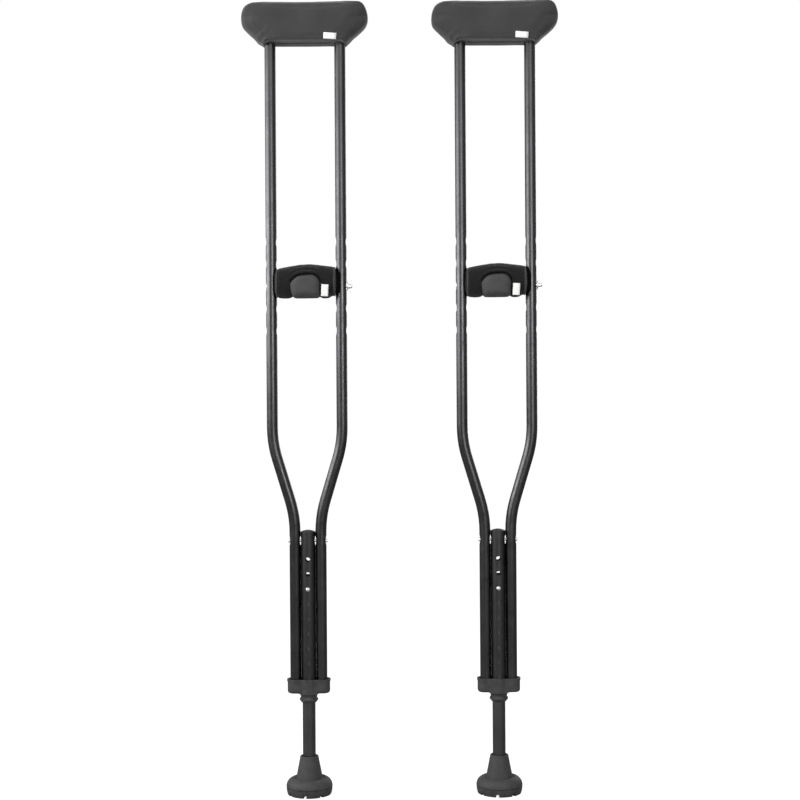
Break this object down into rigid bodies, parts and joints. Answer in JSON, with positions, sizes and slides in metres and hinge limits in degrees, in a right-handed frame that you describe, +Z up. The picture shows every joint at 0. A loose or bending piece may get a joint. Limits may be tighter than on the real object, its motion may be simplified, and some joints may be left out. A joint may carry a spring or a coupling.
{
  "type": "underarm crutches",
  "caption": "Pair of height-adjustable aluminium underarm crutches with padded rests, bolted hand grips, push-button legs and wide rubber tips.",
  "frame": {"origin": "on the floor, midway between the two crutches' tips", "axes": "+Z up along the crutches, +X from crutch 1 to crutch 2, -Y is the front"},
  "size_m": [0.5422, 0.0792, 1.3568],
  "materials": {
    "black_upright": "satin black anodised",
    "black_centre_tube": "satin black anodised",
    "charcoal_leg": "satin charcoal anodised",
    "charcoal_plastic": "fine moulded texture",
    "black_plastic": "moulded",
    "tip_rubber": "matte rubber",
    "bright_steel": "bright zinc plated",
    "spring_steel": "plain",
    "foam": "soft closed-cell foam",
    "pad_fabric": "knitted charcoal cloth",
    "wrap_fabric": "brushed black cloth",
    "palm_fabric": "smooth grey cloth",
    "white_tag": "woven ribbon, blank"
  },
  "bodies": {
    "crutch1_frame": {"crutch1_upright_left": "black_upright", "crutch1_upright_right": "black_upright", "crutch1_centre_tube": "black_centre_tube", "crutch1_centre_tube_cap": "black_plastic", "crutch1_cross_rivet": "bright_steel", "crutch1_leg_collar": "charcoal_plastic", "crutch1_collar_screws": "bright_steel", "crutch1_underarm_saddle": "black_plastic", "crutch1_saddle_pins": "bright_steel", "crutch1_underarm_foam": "foam", "crutch1_underarm_cover": "pad_fabric", "crutch1_underarm_tag": "white_tag"},
    "crutch1_leg": {"crutch1_leg_tube": "charcoal_leg", "crutch1_leg_top_glide": "black_plastic", "crutch1_spring_clip": "spring_steel", "crutch1_leg_tip": "tip_rubber", "crutch1_tip_washer": "spring_steel"},
    "crutch1_button": {"crutch1_snap_button": "bright_steel"},
    "crutch1_grip": {"crutch1_grip_core": "black_plastic", "crutch1_grip_foam": "foam", "crutch1_grip_wrap": "wrap_fabric", "crutch1_palm_cushion": "palm_fabric", "crutch1_grip_closure_strip": "wrap_fabric", "crutch1_grip_tag": "white_tag", "crutch1_grip_bolt": "bright_steel"},
    "crutch1_nut_washer": {"crutch1_nut_washer": "bright_steel"},
    "crutch1_wing_nut": {"crutch1_wing_nut": "bright_steel"},
    "crutch2_frame": {"crutch2_upright_left": "black_upright", "crutch2_upright_right": "black_upright", "crutch2_centre_tube": "black_centre_tube", "crutch2_centre_tube_cap": "black_plastic", "crutch2_cross_rivet": "bright_steel", "crutch2_leg_collar": "charcoal_plastic", "crutch2_collar_screws": "bright_steel", "crutch2_underarm_saddle": "black_plastic", "crutch2_saddle_pins": "bright_steel", "crutch2_underarm_foam": "foam", "crutch2_underarm_cover": "pad_fabric", "crutch2_underarm_tag": "white_tag"},
    "crutch2_leg": {"crutch2_leg_tube": "charcoal_leg", "crutch2_leg_top_glide": "black_plastic", "crutch2_spring_clip": "spring_steel", "crutch2_leg_tip": "tip_rubber", "crutch2_tip_washer": "spring_steel"},
    "crutch2_button": {"crutch2_snap_button": "bright_steel"},
    "crutch2_grip": {"crutch2_grip_core": "black_plastic", "crutch2_grip_foam": "foam", "crutch2_grip_wrap": "wrap_fabric", "crutch2_palm_cushion": "palm_fabric", "crutch2_grip_closure_strip": "wrap_fabric", "crutch2_grip_tag": "white_tag", "crutch2_grip_bolt": "bright_steel"},
    "crutch2_nut_washer": {"crutch2_nut_washer": "bright_steel"},
    "crutch2_wing_nut": {"crutch2_wing_nut": "bright_steel"}
  },
  "joints": [
    {"name": "crutch1_leg_slide", "type": "slide", "parent": "crutch1_frame", "child": "crutch1_leg", "axis": [0, 0, -1], "range_m": [-0.0508, 0.1524], "deforming": ["crutch1_snap_button"]},
    {"name": "crutch1_button_press", "type": "slide", "parent": "crutch1_leg", "child": "crutch1_button", "axis": [0, 1, 0], "range_m": [0, 0.0044], "stiffness_N_per_m": 1500, "springref_m": -0.002, "deforming": ["crutch1_spring_clip"]},
    {"name": "crutch1_grip_height", "type": "slide", "parent": "crutch1_frame", "child": "crutch1_grip", "axis": [0, 0, 1], "range_m": [-0.0762, 0.0762], "deforming": ["crutch1_grip_bolt"]},
    {"name": "crutch1_nut_travel", "type": "slide", "parent": "crutch1_grip", "child": "crutch1_nut_washer", "axis": [1, 0, 0], "range_m": [0, 0.00381]},
    {"name": "crutch1_nut_turn", "type": "hinge", "parent": "crutch1_nut_washer", "child": "crutch1_wing_nut", "pos_m": [-0.08905, 0, 0.8712], "axis": [1, 0, 0], "range_deg": [0, 1080]},
    {"name": "crutch2_leg_slide", "type": "slide", "parent": "crutch2_frame", "child": "crutch2_leg", "axis": [0, 0, -1], "range_m": [-0.0508, 0.1524], "deforming": ["crutch2_snap_button"]},
    {"name": "crutch2_button_press", "type": "slide", "parent": "crutch2_leg", "child": "crutch2_button", "axis": [0, 1, 0], "range_m": [0, 0.0044], "stiffness_N_per_m": 1500, "springref_m": -0.002, "deforming": ["crutch2_spring_clip"]},
    {"name": "crutch2_grip_height", "type": "slide", "parent": "crutch2_frame", "child": "crutch2_grip", "axis": [0, 0, 1], "range_m": [-0.0762, 0.0762], "deforming": ["crutch2_grip_bolt"]},
    {"name": "crutch2_nut_travel", "type": "slide", "parent": "crutch2_grip", "child": "crutch2_nut_washer", "axis": [1, 0, 0], "range_m": [0, 0.00381]},
    {"name": "crutch2_nut_turn", "type": "hinge", "parent": "crutch2_nut_washer", "child": "crutch2_wing_nut", "pos_m": [0.23745, 0, 0.8712], "axis": [1, 0, 0], "range_deg": [0, 1080]},
    {"name": "crutches_apart", "type": "slide", "parent": "crutch1_frame", "child": "crutch2_frame", "axis": [1, 0, 0], "range_m": [0, 0.3]}
  ],
  "couplings": [
    {"joint": "crutch1_nut_travel", "follows": "crutch1_nut_turn", "m_per_rad": 0.00020213},
    {"joint": "crutch2_nut_travel", "follows": "crutch2_nut_turn", "m_per_rad": 0.00020213}
  ]
}
